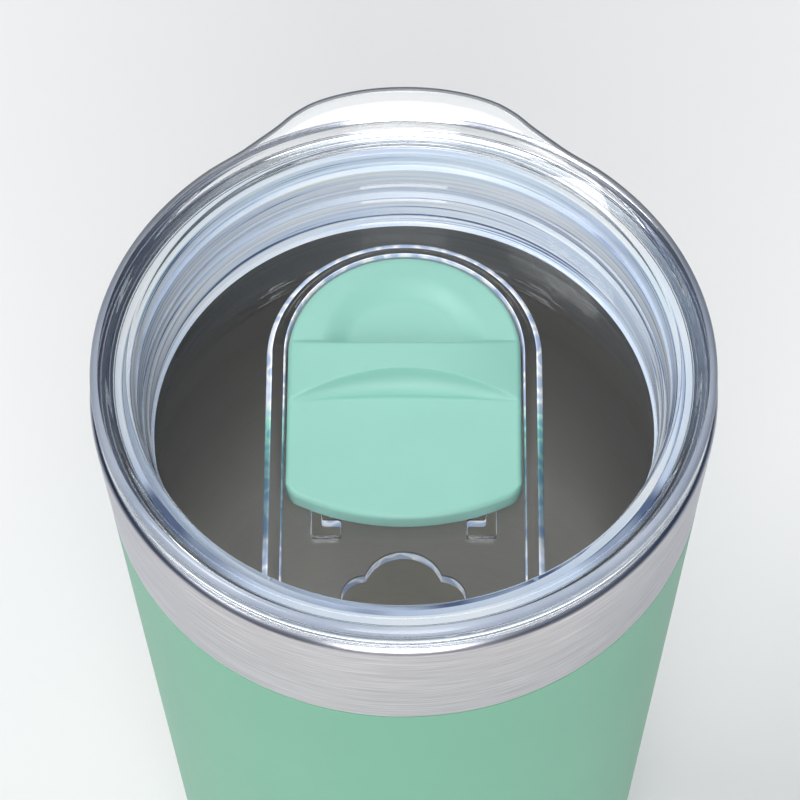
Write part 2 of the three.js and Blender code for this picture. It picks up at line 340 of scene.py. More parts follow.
# lid section from under the floor out to the rim, with the gasket's groove and two channels in
# the seat that rests on the cup's lip
UNDER = rounded([
    (35.4, FLOOR_LOW_Z),
    (36.4, FLOOR_LOW_Z),
    (38.9, FLOOR_LOW_Z, 0.7),
    (39.9, 156.3, 0.3),
    (40.7, 157.1, 0.3),
    (40.85, GROOVE_Z[0], 0.25),
    (GROOVE_R, GROOVE_Z[0], 0.2),
    (GROOVE_R, GROOVE_Z[1], 0.2),
    (41.0, GROOVE_Z[1], 0.25),
    (41.1, SEAT_Z, 0.4),
    (42.15, SEAT_Z, 0.1),
    (42.25, SEAT_Z + 0.4, 0.12),
    (42.75, SEAT_Z + 0.4, 0.12),
    (42.85, SEAT_Z, 0.1),
    (43.45, SEAT_Z, 0.1),
    (43.55, SEAT_Z + 0.4, 0.12),
    (44.0, SEAT_Z + 0.4, 0.12),
    (44.1, SEAT_Z, 0.1),
    (44.87, SEAT_Z, 0.35),
    (44.95, 167.0),
])[:-1]

# lid section from the top of the rim down the stepped well wall to the floor
INSIDE = rounded([
    (43.9, TOP_Z),
    (42.5, TOP_Z, 1.3),
    (39.75, 168.75, 0.55),
    (38.95, 166.9, 0.8),
    (37.95, 160.95, 0.12),
    (37.65, 160.6, 0.12),
    (37.25, 158.1, 0.1),
    (37.0, 157.8, 0.1),
    (FLOOR_R - 0.02, FLOOR_Z, 1.0),
    (35.6, FLOOR_Z),
    (35.4, FLOOR_Z),
], steps=6)


def lid_section(angle):
    """The rim's rounded edge moves outwards with the tab, which leaves a flat shelf under it."""
    out = tab_r(angle) - RIM_R
    face_r = RIM_R - 0.03
    low_mid_z = TOP_Z - TAB_THICK + EDGE_R
    reach = min((EDGE_R - 0.03 - out) / EDGE_R, 1.0)
    start = -90.0 if reach <= 0 else -math.degrees(math.acos(reach))
    corner_z = low_mid_z + EDGE_R * math.sin(math.radians(start))
    points = list(UNDER)
    low_r, low_z = UNDER[-1]
    for k in range(1, 5):
        points.append((low_r + (face_r - low_r) * k / 4, low_z + (corner_z - low_z) * k / 4))
    centre = RIM_R - EDGE_R + out
    shelf = centre + EDGE_R * math.cos(math.radians(start))
    apart = 0.0005    # keeps the points of a very short stretch from merging
    for k in range(1, 4):
        points.append((face_r + (shelf - face_r) * k / 4 + apart * k, corner_z))
    points += arc(centre, low_mid_z, EDGE_R, start + 0.01, -0.01, 8)
    points += arc(centre, TOP_Z - EDGE_R, EDGE_R, 0, 90, 10)
    for k in range(1, 5):
        points.append((centre + (43.95 - centre) * k / 5 - apart * k, TOP_Z))
    return points + INSIDE


def rail_stations():
    """Pairs of points on the inner and the outer U: up one leg, round the bend, down the other."""
    def on_bend(radius, y, a):
        return Vector((radius * math.cos(a), y + radius * math.sin(a)))

    leg = []
    for k in range(RAIL_LEG_STEPS + 1):
        y = RAIL_END_Y + (RAIL_OUT_Y - RAIL_END_Y) * k / RAIL_LEG_STEPS
        leg.append((Vector((RAIL_IN_R, y)), Vector((RAIL_OUT_R, y))))
    bend = []
    for k in range(1, RAIL_BEND_STEPS):
        a = math.pi * k / RAIL_BEND_STEPS
        bend.append((on_bend(RAIL_IN_R, RAIL_IN_Y, a), on_bend(RAIL_OUT_R, RAIL_OUT_Y, a)))
    mirror = Vector((-1, 1))
    return leg + bend + [(inner * mirror, outer * mirror) for inner, outer in reversed(leg)]


STATIONS = rail_stations()
RAIL_IN_PATH = [(*inner, *(outer - inner).normalized()) for inner, outer in STATIONS]
RAIL_OUT_PATH = [(*outer, *(outer - inner).normalized()) for inner, outer in STATIONS]


def make_rail():
    """A ridge with a slightly crowned top, its outer top corner well rounded."""
    bm = bmesh.new()
    rows = []
    for inner, outer in STATIONS:
        wide = (outer - inner).length
        across = (outer - inner).normalized()
        crown = [
            (0.3 + (wide - 1.25) * k / 6, RAIL_TOP_Z + CROWN * (1 - (k / 3 - 1) ** 2)) for k in range(7)
        ]
        section = rounded([
            (0.0, FLOOR_Z - 0.5), (0.05, RAIL_TOP_Z, 0.2), *crown, (wide - 0.1, RAIL_TOP_Z, 0.8),
            (wide, FLOOR_Z - 0.5),
        ])
        rows.append([bm.verts.new((*((inner + across * a) * MM), z * MM)) for a, z in section])
    skin(bm, rows, False)
    return finish_mesh("rail", bm)


def hole_outline(grow):
    """The drinking hole's three circles as one outline seen from its middle."""
    out = []
    for i in range(160):
        a = 2 * math.pi * i / 160
        way = Vector((math.cos(a), math.sin(a)))
        far = 0
        for x, y, radius in HOLE:
            to = Vector((x, y)) - HOLE_CENTRE
            along = to.dot(way)
            inside = (radius + grow) ** 2 - (to.length_squared - along**2)
            if inside > 0:
                far = max(far, along + math.sqrt(inside))
        far += 0.012 * math.sin(23 * a)
        out.append(tuple(HOLE_CENTRE + way * far))
    return out


def rounded_outline(corners, radius, grow):
    """A closed outline with rounded corners, moved outwards by grow."""
    points = [Vector(c) for c in corners]
    out = []
    for i, p in enumerate(points):
        a, b = (points[i - 1] - p).normalized(), (points[(i + 1) % len(points)] - p).normalized()
        convex = a.x * b.y - a.y * b.x < 0
        r = radius + (grow if convex else -grow)
        corner = p - (a + b) * grow if convex else p + (a + b) * grow
        out += corner_arc(corner + (a + b) * r, r, corner + a * r, corner + b * r, 6)
    return out


def cut_floor(lid, outline):
    """Cuts a hole through the floor with its edges broken at both faces."""
    broken, past = 0.12, 0.5
    wider = outline(broken + past)
    plain = outline(0.0)
    combine(lid, prism_stack("cutter", [
        (FLOOR_LOW_Z - past, wider), (FLOOR_LOW_Z + broken, plain),
        (FLOOR_Z - broken, plain), (FLOOR_Z + past, wider),
    ]), "DIFFERENCE")


def make_lid():
    lid = revolve("clear_lid", lid_section, caps=True)
    combine(lid, make_rail(), "UNION")
    cut_floor(lid, hole_outline)
    for corners in (SLOT, SLOT_MIRRORED):
        cut_floor(lid, lambda grow: rounded_outline(corners, SLOT_CORNER_R, grow * 0.4))
    smooth(lid.data, 32)
    return lid


def make_clear_edges():
    """Linings of the hole and slots, just inside the plastic, which carry painted glints."""
    low, high = FLOOR_LOW_Z + 0.2, FLOOR_Z - 0.2
    lining = [(-0.05, low), (-0.02, low), (-0.02, high), (-0.05, high)]
    outlines = [hole_outline(0.0)]
    outlines += [rounded_outline(corners, SLOT_CORNER_R, 0.0) for corners in (SLOT, SLOT_MIRRORED)]
    bm = bmesh.new()
    for outline in outlines:
        strip(bm, with_outward(outline), lining, True)
    return finish_mesh("clear_edges", bm, 40)


def make_rail_edges():
    """Skins on the rail's rounded outer corner and on its inner top corner, which carry painted glints
    and reflections.
    """
    def outer_corner(proud, angles):
        out = []
        for a in angles:
            r = RIDGE_R + proud
            across = -0.1 - RIDGE_R + r * math.sin(math.radians(a))
            out.append((across, RAIL_TOP_Z - RIDGE_R + r * math.cos(math.radians(a))))
        return out

    bm = bmesh.new()
    ridge = outer_corner(0.03, range(0, 91, 10)) + outer_corner(0.01, range(90, -1, -10))
    strip(bm, RAIL_OUT_PATH, ridge, False)
    inner_corner = [
        (0.03, -0.6), (0.03, -0.18), (0.09, -0.04), (0.25, 0.02), (0.31, 0.02),
        (0.31, 0.005), (0.25, 0.003), (0.105, -0.055), (0.05, -0.19), (0.05, -0.6),
    ]
    strip(bm, RAIL_IN_PATH, [(a, RAIL_TOP_Z + dz) for a, dz in inner_corner], False)
    return finish_mesh("rail_edges", bm, 40)


def make_rail_inner_face():
    # a skin on the rail's inner face that carries the wall's painted glow and reflections
    low, high = FLOOR_Z + 0.15, RAIL_TOP_Z - 0.25
    bm = bmesh.new()
    strip(bm, RAIL_IN_PATH, [(0.08, low), (0.12, high), (0.16, high), (0.12, low)], False)
    return finish_mesh("rail_inner_face", bm, 40)


def make_wall_glow_skin():
    """A thin shell just inside the outer face of the well wall, up to the seat and over the lip, which
    carries the wall's painted glow and reflections.
    """
    face = rounded([
        (36.95, FLOOR_LOW_Z + GLOW_SKIN_DEPTH),
        (38.87, FLOOR_LOW_Z + GLOW_SKIN_DEPTH, 0.66),
        (39.86, 156.32, 0.3),
        (40.65, 157.12, 0.3),
        (40.78, GROOVE_Z[0] - GLOW_SKIN_DEPTH, 0.2),
        (GROOVE_R - GLOW_SKIN_DEPTH, GROOVE_Z[0] - GLOW_SKIN_DEPTH, 0.2),
        (GROOVE_R - GLOW_SKIN_DEPTH, GROOVE_Z[1] + GLOW_SKIN_DEPTH, 0.2),
        (40.94, GROOVE_Z[1] + GLOW_SKIN_DEPTH, 0.2),
        (41.04, SEAT_Z + GLOW_SKIN_DEPTH, 0.3),
        (42.05, SEAT_Z + GLOW_SKIN_DEPTH),
    ])
    back_face = [(r + 0.02, z - 0.02) for r, z in reversed(face)]
    return revolve("wall_glow_skin", face + back_face, closed=True)


def shade_section(angle):
    """A dark strip of painted shade along the outer edge of the rim and tab, where the rounding turns
    away from the light.
    """
    proud, thick = 0.02, 0.012
    centre = tab_r(angle) - EDGE_R
    line = [(centre - 0.2, TOP_Z + proud)]
    line += arc(centre, TOP_Z - EDGE_R, EDGE_R + proud, 90, 12, 8)
    return line + [(r - thick * (r > centre), z - thick) for r, z in reversed(line)]


def make_gasket():
    """A silicone ring with two sealing ribs, in the groove."""
    rib_r = liner_r(161) - 0.25
    body_r = 40.9
    low, high = GROOVE_Z[0] + 0.2, GROOVE_Z[1] - 0.2
    return revolve("clear_gasket", rounded([
        (GROOVE_R + 0.05, low, 0.2),
        (body_r, low, 0.3),
        (rib_r - 0.1, 159.7, 0.25),
        (body_r, 160.4, 0.3),
        (body_r, 161.0, 0.3),
        (rib_r, 161.9, 0.25),
        (body_r, high, 0.3),
        (GROOVE_R + 0.05, high, 0.2),
    ], True), closed=True)


# ---- slider ---------------------------------------------------------------------------------
def bulge(x):
    """1 on the middle line, 0 at the slider's sides."""
    return max(1 - (x / SLIDE_W) ** 2, 0.0)


def front_y(x):
    corner = max(abs(x) - (SLIDE_W - NOSE_CORNER_R), 0.0)
    back_by = NOSE_CORNER_R - math.sqrt(max(NOSE_CORNER_R**2 - corner**2, 0.0))
    return SLIDE_TRAVEL - math.sqrt(SLIDE_NOSE_R**2 - x * x) + back_by


def rear_y(x):
    return RAIL_IN_Y + math.sqrt(max(SLIDE_W**2 - x * x, 0.0))


def groove_y(x):
    return 2.5 + 0.8 * bulge(x)


def crest_y(x):
    return 2.9 + 4.2 * bulge(x)


def hump_back_y(x):
    return 13.1 - 0.66 * HUMP * bulge(x)


def hump_foot_y(x):
    return hump_back_y(x) + 0.3 + 1.2 * bulge(x)


def relief(x, y):
    """Height over the pad: scoop, thumb hump, and the dish behind it."""
    groove, crest, back, foot = groove_y(x), crest_y(x), hump_back_y(x), hump_foot_y(x)
    high = HUMP * bulge(x)
    high += CREST_LIP * bulge(x) * math.exp(-(((y - crest) / 0.38) ** 2))
    if y <= groove:
        return GROOVE_LIP * bulge(x) * math.exp(-(((y - groove) / 0.35) ** 2))
    if y < crest:
        t = (y - groove) / (crest - groove)
        lip = GROOVE_LIP * bulge(x) * (1 - t) ** 6
        return high * t**2.6 + lip - SCOOP * bulge(x) * 4 * t * (1 - t) ** 1.4
    if y <= back:
        return high
    bowl = DISH * smoothstep(DISH_R - math.hypot(x, y - DISH_Y), 0.0, DISH_SIDE)
    fall = min((y - back) / (foot - back), 1.0)
    return high * (1 - fall) - bowl * fall


# offsets along Y and their weights, which soften the relief's creases
BLUR = [(k * 0.09, math.exp(-((k / 2.2) ** 2))) for k in range(-5, 6)]
BLUR_SUM = sum(w for _, w in BLUR)


def top_z(x, y):
    z = PAD_Z + sum(w * relief(x, y + d) for d, w in BLUR) / BLUR_SUM
    edge = min(SLIDE_W - abs(x), y - front_y(x))
    if y > RAIL_IN_Y:
        edge = min(edge, SLIDE_W - math.hypot(x, y - RAIL_IN_Y))
    inset = min(max(SLIDE_EDGE_R - edge, 0.0), SLIDE_EDGE_R)
    return z - SLIDE_EDGE_R + math.sqrt(max(SLIDE_EDGE_R**2 - inset**2, 0.0))


def spread(count):
    return [k / count for k in range(count)]


# lines across the slider, and the shares of the way from each to the next that hold a row
LINES = (front_y, groove_y, crest_y, hump_back_y, hump_foot_y, rear_y)
SHARES = (
    [0, 0.0006, 0.003, 0.007, 0.013, 0.02, 0.028, 0.038, 0.05] + [0.07 + 0.93 * s for s in spread(26)],
    spread(22),
    spread(18),
    spread(10),
    [0.985 * s for s in spread(44)] + [0.985, 0.991, 0.995, 0.998, 0.9995, 1],
)


def slider_rows(x):
    """The y of every row of the top at one x, kept apart where the rows run together."""
    ys = []
    for low_line, high_line, shares in zip(LINES, LINES[1:], SHARES):
        low, high = low_line(x), high_line(x)
        ys += [low + share * (high - low) for share in shares]
    return [min(y, rear_y(x) - 0.004 * (len(ys) - 1 - j)) for j, y in enumerate(ys)]


def add_hooks(slider):
    """A leg each side down through its slot, with a foot turned inwards under the floor."""
    depth, y = 2.4, 2.6
    leg = (12.2, 13.05, 149.6, SLIDE_LOW_Z + 0.4)
    foot = (9.4, 13.05, 149.0, 150.3)
    for side in (-1, 1):
        for x0, x1, z0, z1 in (leg, foot):
            bm = bmesh.new()
            bmesh.ops.create_cube(bm, size=1)
            size = Vector((x1 - x0, depth, z1 - z0)) * MM
            at = Vector((side * (x0 + x1) / 2, y, (z0 + z1) / 2)) * MM
            matrix = Matrix.Translation(at) @ Matrix.Diagonal((*size, 1))
            bmesh.ops.transform(bm, matrix=matrix, verts=bm.verts)
            bmesh.ops.bevel(
                bm, geom=bm.edges[:], offset=0.15 * MM, segments=3, profile=0.5, affect="EDGES",
            )
            combine(slider, finish_mesh("hook", bm), "UNION")


def make_slider():
    """Columns of points from the front edge to the rear, closed by walls and a flat underside."""
    bm = bmesh.new()
    top, low = [], []
    for i in range(COLUMNS + 1):
        x = SLIDE_W * math.sin(math.pi * (i / COLUMNS - 0.5)) * (1 - 1e-7)
        ys = slider_rows(x)
        top.append([bm.verts.new((x * MM, y * MM, top_z(x, y) * MM)) for y in ys])
        low.append([bm.verts.new((x * MM, y * MM, SLIDE_LOW_Z * MM)) for y in (ys[0], ys[-1])])
    for i in range(COLUMNS):
        a, b = top[i], top[i + 1]
        for j in range(len(a) - 1):
            bm.faces.new((a[j], b[j], b[j + 1], a[j + 1]))
        for end in (0, -1):
            bm.faces.new((top[i][end], low[i][end], low[i + 1][end], top[i + 1][end]))
    for end in (0, -1):
        bm.faces.new(top[end] + [low[end][1], low[end][0]])
    bm.faces.new([v[0] for v in low] + [v[1] for v in reversed(low)])
    slider = finish_mesh("mint_slider", bm, 40)
    add_hooks(slider)
    smooth(slider.data, 40)
    return slider


# ---- material helpers -----------------------------------------------------------------------
WHITE = (1.0, 1.0, 1.0)
PLASTIC_IOR = 1.53
RAMP_TOP = 200.0                       # height in mm that stands for 1 on a colour ramp along Z
MIX_A, MIX_B, MIX_OUT = 6, 7, 2        # the colour sockets of a Mix node


def node(tree, kind, **values):
    made = tree.nodes.new(kind)
    for key, value in values.items():
        if key in made.inputs:
            made.inputs[key].default_value = value
        else:
            setattr(made, key, value)
    return made


def material(name, values):
    """A new material, its Principled BSDF's constant inputs set by name."""
    mat = bpy.data.materials.new(name)
    mat.use_nodes = True
    bsdf = mat.node_tree.nodes["Principled BSDF"]
    for key, value in values.items():
        bsdf.inputs[key].default_value = value
    return mat, mat.node_tree, bsdf


def noise(tree, scale, across=1.0, detail=4.0):
    """Noise over the object, drawn out round it where across is below 1."""
    coords = node(tree, "ShaderNodeTexCoord")
    mapping = node(tree, "ShaderNodeMapping", Scale=(scale * across, scale * across, scale))
    made = node(tree, "ShaderNodeTexNoise", Scale=1.0, Detail=detail)
    tree.links.new(coords.outputs["Object"], mapping.inputs["Vector"])
    tree.links.new(mapping.outputs["Vector"], made.inputs["Vector"])
    return made.outputs["Fac"]


def map_range(tree, source, **limits):
    """Limits are from_min, from_max, to_min and to_max; 0 and 1 where not given."""
    made = node(tree, "ShaderNodeMapRange")
    for key, value in limits.items():
        made.inputs[key.replace("_", " ").title()].default_value = value
    tree.links.new(source, made.inputs["Value"])
    return made.outputs["Result"]


def along(tree, axis, low, high):
    """0 to 1 between two places on an axis of the object, in millimetres."""
    coords = node(tree, "ShaderNodeTexCoord")
    split = node(tree, "ShaderNodeSeparateXYZ")
    tree.links.new(coords.outputs["Object"], split.inputs["Vector"])
    return map_range(tree, split.outputs[axis], from_min=low * MM, from_max=high * MM)


def ramp(tree, source, stops):
    made = node(tree, "ShaderNodeValToRGB")
    elements = made.color_ramp.elements
    while len(elements) < len(stops):
        elements.new(0.5)
    for element, (position, colour) in zip(elements, stops):
        element.position = position
        element.color = (*colour, 1.0)
    tree.links.new(source, made.inputs["Fac"])
    return made.outputs["Color"]


def two_tone(tree, source, low, high):
    return ramp(tree, source, [(0.3, low), (0.7, high)])


def multiply(tree, a, b, factor=None):
    """One colour times another, fully where no factor is given."""
    made = node(tree, "ShaderNodeMix", data_type="RGBA", blend_type="MULTIPLY")
    if factor is None:
        made.inputs["Factor"].default_value = 1.0
    else:
        tree.links.new(factor, made.inputs["Factor"])
    tree.links.new(a, made.inputs[MIX_A])
    tree.links.new(b, made.inputs[MIX_B])
    return made.outputs[MIX_OUT]


def bump(tree, bsdf, source, distance, strength):
    made = node(tree, "ShaderNodeBump", Strength=strength, Distance=distance)
    tree.links.new(source, made.inputs["Height"])
    tree.links.new(made.outputs["Normal"], bsdf.inputs["Normal"])


# ---- materials ------------------------------------------------------------------------------
def steel(name, look):
    """Steel with fine lines round it. Its colour carries painted shade and reflection: darker or bluer
    with height and from side to side, and dark blue at the left and right of the lip.
    """
    mat, tree, bsdf = material(name, {
        "Metallic": 1.0,
        "Anisotropic": look["anisotropic"],
        "Anisotropic Rotation": 0.25,
        "Specular Tint": (0.74, 0.77, 0.82, 1.0),
    })
    fine = noise(tree, look["streak"], 0.02, 3.0)
    broad = noise(tree, look["streak"] / 12, 0.03, 2.0)
    colour = two_tone(tree, fine, look["low"], look["high"])
    # painted shade and reflection by height, from the look's list of heights
    by_height = ramp(tree, along(tree, "Z", 0.0, RAMP_TOP), [(z / RAMP_TOP, c) for z, c in look["height_shade_stops"]])
    colour = multiply(tree, colour, by_height)
    from_left = along(tree, "X", -45.0, 45.0)
    # painted shade from side to side, high in the cup
    if "sides" in look:
        high_up = along(tree, "Z", 85.0, 115.0)
        colour = multiply(tree, colour, ramp(tree, from_left, look["sides"]), high_up)
    # painted reflection on the lip: dark blue at its left and right
    painted_lip_shade = ramp(tree, from_left, [
        (0.0, (0.24, 0.29, 0.39)), (0.08, (0.32, 0.38, 0.49)), (0.22, WHITE), (0.8, WHITE),
        (0.92, (0.48, 0.55, 0.66)), (1.0, (0.42, 0.49, 0.61)),
    ])
    colour = multiply(tree, colour, painted_lip_shade, along(tree, "Z", 163.6, 164.5))
    tree.links.new(colour, bsdf.inputs["Base Color"])

    low_z, high_z, top_rough = look["rough_top"]
    rough = look["rough"]
    blend = node(tree, "ShaderNodeMix", B=top_rough)
    tree.links.new(along(tree, "Z", low_z, high_z), blend.inputs["Factor"])
    varied = map_range(tree, broad, to_min=rough - 0.05, to_max=rough + 0.06)
    tree.links.new(varied, blend.inputs["A"])
    tree.links.new(blend.outputs["Result"], bsdf.inputs["Roughness"])

    tangent = node(tree, "ShaderNodeTangent", direction_type="RADIAL", axis="Z")
    tree.links.new(tangent.outputs["Tangent"], bsdf.inputs["Tangent"])
    bump(tree, bsdf, fine, look["depth"], 0.35)
    return mat


def brushed_steel():
    return steel("brushed_steel", {
        "low": (0.55, 0.532, 0.538), "high": (0.81, 0.79, 0.797),
        "rough": 0.34, "rough_top": (160.0, 164.0, 0.28),
        "streak": 4800.0, "anisotropic": 0.6, "depth": 0.00002,
        # painted reflection: the top of the lip is tinted blue
        "height_shade_stops": ((0.0, WHITE), (164.3, WHITE), (164.8, (0.85, 0.90, 1.0))),
    })


def inner_steel():
    """Satin steel with painted shade, darker in the upper cup and at its sides and tinted blue near the
    mouth, as it looks through the lid.
    """
    return steel("inner_steel", {
        "low": (0.88, 0.865, 0.825), "high": (0.95, 0.935, 0.895),
        "rough": 0.45, "rough_top": (150.5, 153.0, 0.6),
        "streak": 9000.0, "anisotropic": 0.7, "depth": 0.000003,
        # painted shade by height: dark in the upper cup, blue-tinted near the mouth
        "height_shade_stops": (
            (90.0, WHITE), (127.0, (0.33, 0.325, 0.31)), (150.0, (0.31, 0.305, 0.295)),
            (157.0, (0.75, 0.82, 0.93)), (164.8, (0.85, 0.90, 1.0)),
        ),
        # painted shade at the left and right of the upper cup
        "sides": (
            (0.1, (0.62, 0.62, 0.60)), (0.3, (0.70, 0.70, 0.68)), (0.45, WHITE), (0.58, WHITE),
            (0.72, (0.76, 0.76, 0.74)), (0.9, (0.70, 0.70, 0.68)),
        ),
    })


def clear_plastic():
    """Clear, and open to shadow rays, so light reaches what is behind without a caustic."""
    mat, tree, bsdf = material("clear_plastic", {
        "Base Color": (0.975, 0.988, 1.0, 1.0), "Transmission Weight": 1.0, "Roughness": 0.015,
        "IOR": PLASTIC_IOR,
    })
    bump(tree, bsdf, noise(tree, 120.0, 1.0, 1.0), 0.00003, 0.08)
    path = node(tree, "ShaderNodeLightPath")
    open_to_light = node(tree, "ShaderNodeBsdfTransparent", Color=(0.97, 0.975, 0.98, 1.0))
    either = node(tree, "ShaderNodeMixShader")
    tree.links.new(path.outputs["Is Shadow Ray"], either.inputs["Fac"])
    tree.links.new(bsdf.outputs["BSDF"], either.inputs[1])
    tree.links.new(open_to_light.outputs["BSDF"], either.inputs[2])
    tree.links.new(either.outputs["Shader"], tree.nodes["Material Output"].inputs["Surface"])
    return mat


def clear_silicone():
    mat, tree, bsdf = material("clear_silicone", {
        "Base Color": (0.84, 0.91, 0.98, 1.0), "Transmission Weight": 0.1, "Roughness": 0.30,
        "IOR": 1.41,
    })
    bump(tree, bsdf, noise(tree, 2500.0), 0.00002, 0.3)
    return mat


def glowing_edge_glints(name, painted_fade_stops=None):
    """Polished cut edges with painted glints, white and pale blue, and a faint glow of their own. They
    may fade along Y.
    """
    # the edges glow a little, though they are no lamp
    mat, tree, bsdf = material(name, {
        "Roughness": 0.22, "Transmission Weight": 0.1, "IOR": PLASTIC_IOR, "Emission Strength": 0.18,
    })
    # painted glints: white and pale blue patches
    colour = ramp(tree, noise(tree, 420.0, 1.0, 0.0), [
        (0.34, (0.45, 0.56, 0.78)), (0.47, (0.80, 0.88, 1.0)), (0.56, WHITE), (0.68, (0.5, 0.62, 0.8)),
    ])
    if painted_fade_stops:
        colour = multiply(tree, colour, ramp(tree, along(tree, "Y", -34.0, 32.0), painted_fade_stops))
    tree.links.new(colour, bsdf.inputs["Base Color"])
    tree.links.new(colour, bsdf.inputs["Emission Color"])
    return mat


def painted_rail_reflection():
    """Painted reflection and shade: green where the rail picks up the slider's colour, dark in front of
    that.
    """
    return glowing_edge_glints("painted_rail_reflection", [
        (0.14, WHITE), (0.22, (0.25, 0.33, 0.40)), (0.40, (0.16, 0.34, 0.34)),
        (0.50, (0.35, 0.75, 0.62)), (0.56, WHITE),
    ])


def painted_wall_glow():
    """Painted reflections: light blue with white and dark rings, and a faint glow of its own."""
    # the wall glows a little, though it is no lamp
    mat, tree, bsdf = material("painted_wall_glow", {
        "Roughness": 0.25, "Transmission Weight": 0.1, "IOR": PLASTIC_IOR, "Emission Strength": 0.14,
    })
    rings = noise(tree, 1900.0, 0.01, 3.0)
    # painted reflections: dark blue and white rings
    colour = ramp(tree, rings, [
        (0.36, (0.10, 0.15, 0.28)), (0.42, (0.66, 0.78, 0.97)), (0.56, (0.84, 0.92, 1.0)), (0.64, WHITE),
    ])
    tree.links.new(colour, bsdf.inputs["Base Color"])
    tree.links.new(colour, bsdf.inputs["Emission Color"])
    bump(tree, bsdf, rings, 0.0001, 0.4)
    return mat


def painted_shade_edge():
    """Painted shade: grey, darker towards the back of the lid."""
    mat, tree, bsdf = material("painted_shade_edge", {
        "Roughness": 0.12, "Transmission Weight": 0.3, "IOR": PLASTIC_IOR,
    })
    haze = two_tone(tree, noise(tree, 60.0, 1.0, 2.0), (0.75, 0.78, 0.82), WHITE)
    # painted shade, darker towards the back
    tone = ramp(tree, along(tree, "Y", -45.0, 50.0), [
        (0.0, (0.66, 0.72, 0.82)), (0.3, (0.50, 0.55, 0.64)), (0.6, (0.34, 0.37, 0.43)),
        (0.8, (0.24, 0.25, 0.27)),
    ])
    tree.links.new(multiply(tree, haze, tone), bsdf.inputs["Base Color"])
    return mat


def mint_powder_coat():
    mat, tree, bsdf = material("mint_powder_coat", {"Specular IOR Level": 0.3})
    grain = noise(tree, 3600.0, 1.0, 2.0)
    patch = noise(tree, 60.0, 1.0, 3.0)
    colour = two_tone(tree, patch, (0.238, 0.556, 0.380), (0.247, 0.570, 0.392))
    tree.links.new(colour, bsdf.inputs["Base Color"])
    tree.links.new(map_range(tree, grain, to_min=0.36, to_max=0.50), bsdf.inputs["Roughness"])
    bump(tree, bsdf, grain, 0.00003, 0.3)
    return mat


def mint_plastic():
    """Mint, with a painted highlight: paler on the front edge, where light comes back from inside the
    lid.
    """
    mat, tree, bsdf = material("mint_plastic", {
        "Subsurface Weight": 0.2, "Subsurface Radius": (0.5, 1.0, 0.8), "Subsurface Scale": 0.0008,
    })
    grain = noise(tree, 5200.0, 1.0, 2.0)
    patch = noise(tree, 90.0, 1.0, 3.0)
    colour = two_tone(tree, patch, (0.262, 0.545, 0.458), (0.278, 0.565, 0.478))
    # painted highlight: paler mint on the front edge below the pad
    painted_light_mask = node(tree, "ShaderNodeMath", operation="MULTIPLY")
    tree.links.new(along(tree, "Z", 155.5, 154.9), painted_light_mask.inputs[0])
    tree.links.new(along(tree, "Y", -8.0, -11.0), painted_light_mask.inputs[1])
    painted_light_mix = node(tree, "ShaderNodeMix", data_type="RGBA")
    tree.links.new(painted_light_mask.outputs["Value"], painted_light_mix.inputs["Factor"])
    tree.links.new(colour, painted_light_mix.inputs[MIX_A])
    painted_light_mix.inputs[MIX_B].default_value = (0.46, 0.86, 0.75, 1.0)
    tree.links.new(painted_light_mix.outputs[MIX_OUT], bsdf.inputs["Base Color"])
    tree.links.new(map_range(tree, grain, to_min=0.34, to_max=0.46), bsdf.inputs["Roughness"])
    bump(tree, bsdf, grain, 0.00001, 0.25)
    return mat


def seal_glass():
    mat, tree, bsdf = material("seal_glass", {"Roughness": 0.12})
    colour = two_tone(tree, noise(tree, 900.0), (0.03, 0.035, 0.045), (0.07, 0.08, 0.1))
    tree.links.new(colour, bsdf.inputs["Base Color"])
    return mat


def getter_metal():
    mat, tree, bsdf = material("getter_metal", {"Roughness": 0.85})
    patch = noise(tree, 4000.0)
    colour = two_tone(tree, patch, (0.05, 0.05, 0.055), (0.14, 0.14, 0.15))
    tree.links.new(colour, bsdf.inputs["Base Color"])
    bump(tree, bsdf, patch, 0.0001, 0.5)
    return mat


# ---- pieces ---------------------------------------------------------------------------------
brushed = brushed_steel()
satin = inner_steel()
painted_wall_look = painted_wall_glow()

# mesh, body it rides on, CAD node it replaces, material slot, material
PIECES = (
    (make_outer_wall(), "cup", "outer_shell", "brushed_steel", brushed),
    (make_coat(), "cup", "colour_coat", "mint_coat", mint_powder_coat()),
    (make_inner_wall(), "cup", "inner_liner", "inner_steel", satin),
    (make_foot_cover(), "cup", "base_cover", "brushed_steel", brushed),
    (make_lid(), "lid", "lid_body", "clear_plastic", clear_plastic()),
    (make_clear_edges(), "lid", "lid_body", "clear_plastic", glowing_edge_glints("glowing_edge_glints")),
    (make_rail_edges(), "lid", "lid_body", "clear_plastic", painted_rail_reflection()),
    (make_rail_inner_face(), "lid", "lid_body", "clear_plastic", painted_wall_look),
    (make_wall_glow_skin(), "lid", "lid_body", "clear_plastic", painted_wall_look),
    (revolve("edge_shade", shade_section, closed=True), "lid", "lid_body", "clear_plastic", painted_shade_edge()),
    (make_gasket(), "lid", "lid_gasket", "clear_silicone", clear_silicone()),
    (make_slider(), "slider", "slider", "mint_plastic", mint_plastic()),
)
for piece, body, cad_node, slot, mat in PIECES:
    piece.data.materials.clear()
    piece.data.materials.append(mat)
    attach(piece, body)
    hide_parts(cad_node)

# hidden between the walls: these keep their CAD meshes
KEPT = {"base_cap": satin, "seal_bead": seal_glass(), "getter_holder": satin, "getter": getter_metal()}
for name, mat in KEPT.items():
    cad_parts[name].data.materials.clear()
    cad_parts[name].data.materials.append(mat)


# ---- floor, light and camera, in metres -----------------------------------------------------
scene = bpy.context.scene


